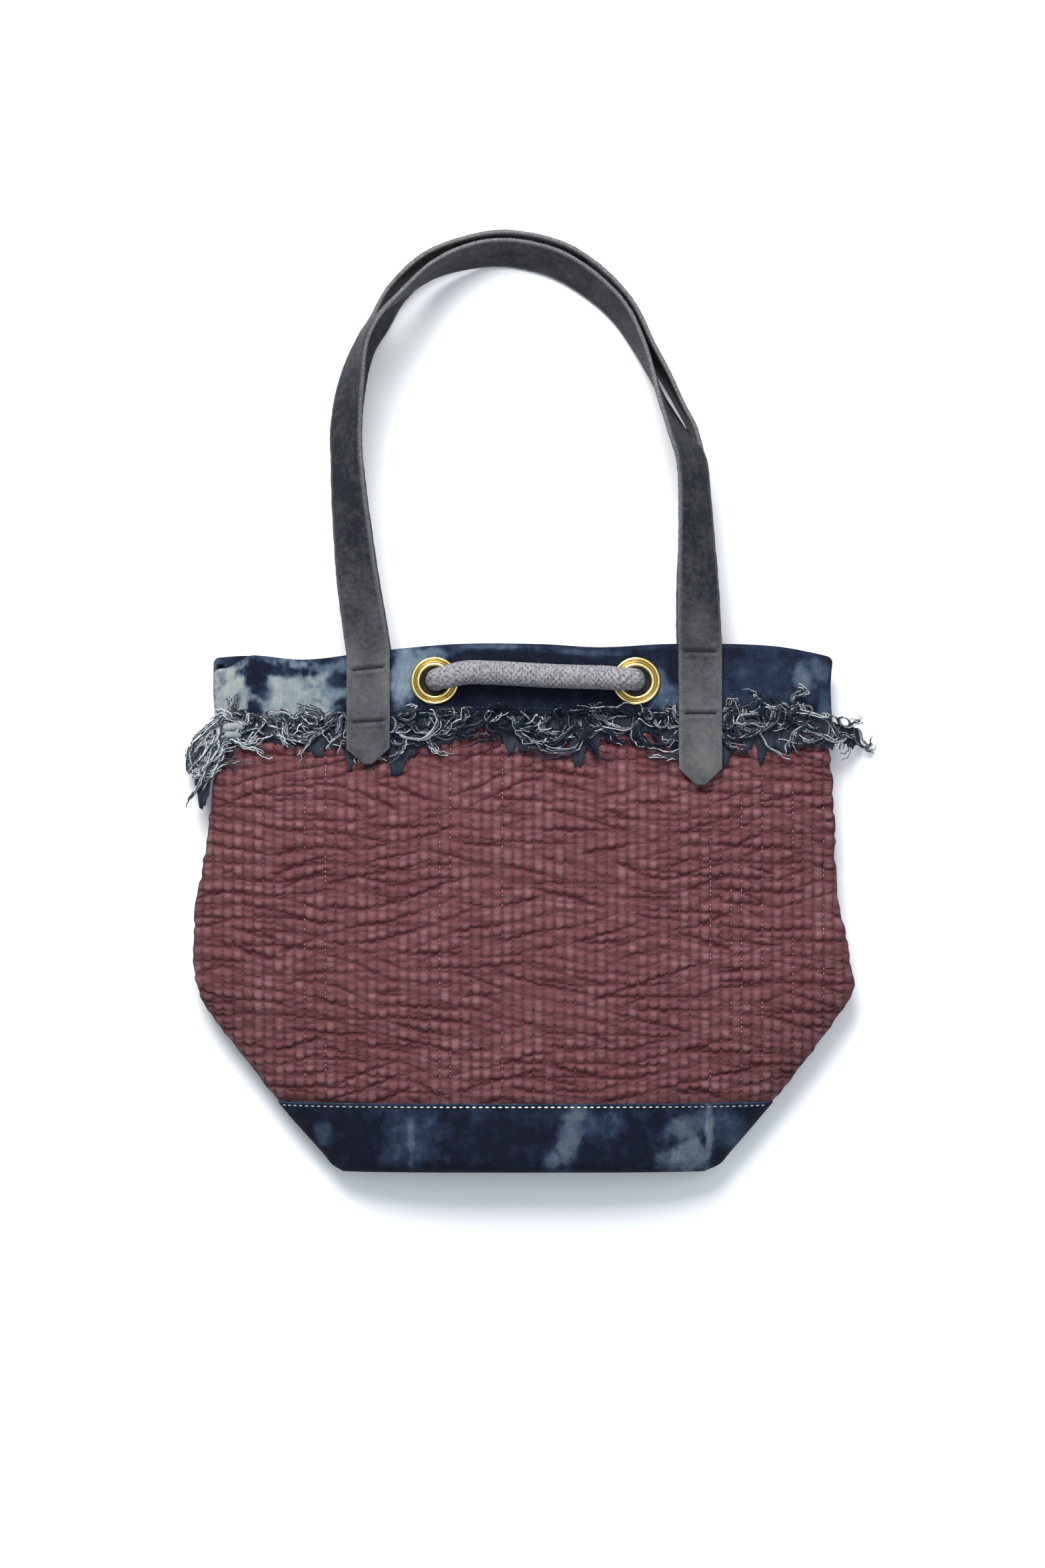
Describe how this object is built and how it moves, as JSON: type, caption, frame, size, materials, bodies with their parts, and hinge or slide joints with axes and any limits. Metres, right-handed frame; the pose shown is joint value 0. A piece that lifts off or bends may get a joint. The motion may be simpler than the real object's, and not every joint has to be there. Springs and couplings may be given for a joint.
{
  "type": "tote bag",
  "caption": "Quilted tote bag with denim base and frayed denim mouth bands, brass eyelets, a short rope and leather handles, lying on its back.",
  "frame": {"origin": "on the flat outer face of the quilted back wall, where the lying bag rests, 120 mm above the base", "axes": "+X to the bag's right as seen from the front, +Y from the base towards the mouth and handles, +Z out of the front, up from the table"},
  "size_m": [0.403, 0.5651, 0.0546],
  "materials": {
    "quilted_cloth": "quilted cotton with red stitching",
    "denim": "dark indigo denim with bleached patches",
    "frayed_denim": "frayed salt and pepper yarns",
    "brass": "polished brass",
    "rope": "grey marl knit",
    "leather": "matte charcoal grain"
  },
  "bodies": {
    "root": {"quilted_front": "quilted_cloth", "quilted_back": "quilted_cloth", "denim_base": "denim", "denim_band_front": "denim", "denim_band_back": "denim", "frayed_edge_front": "frayed_denim", "frayed_edge_back": "frayed_denim", "eyelet_left": "brass", "eyelet_right": "brass", "rope": "rope", "handle_front": "leather", "handle_back": "leather"}
  },
  "joints": []
}
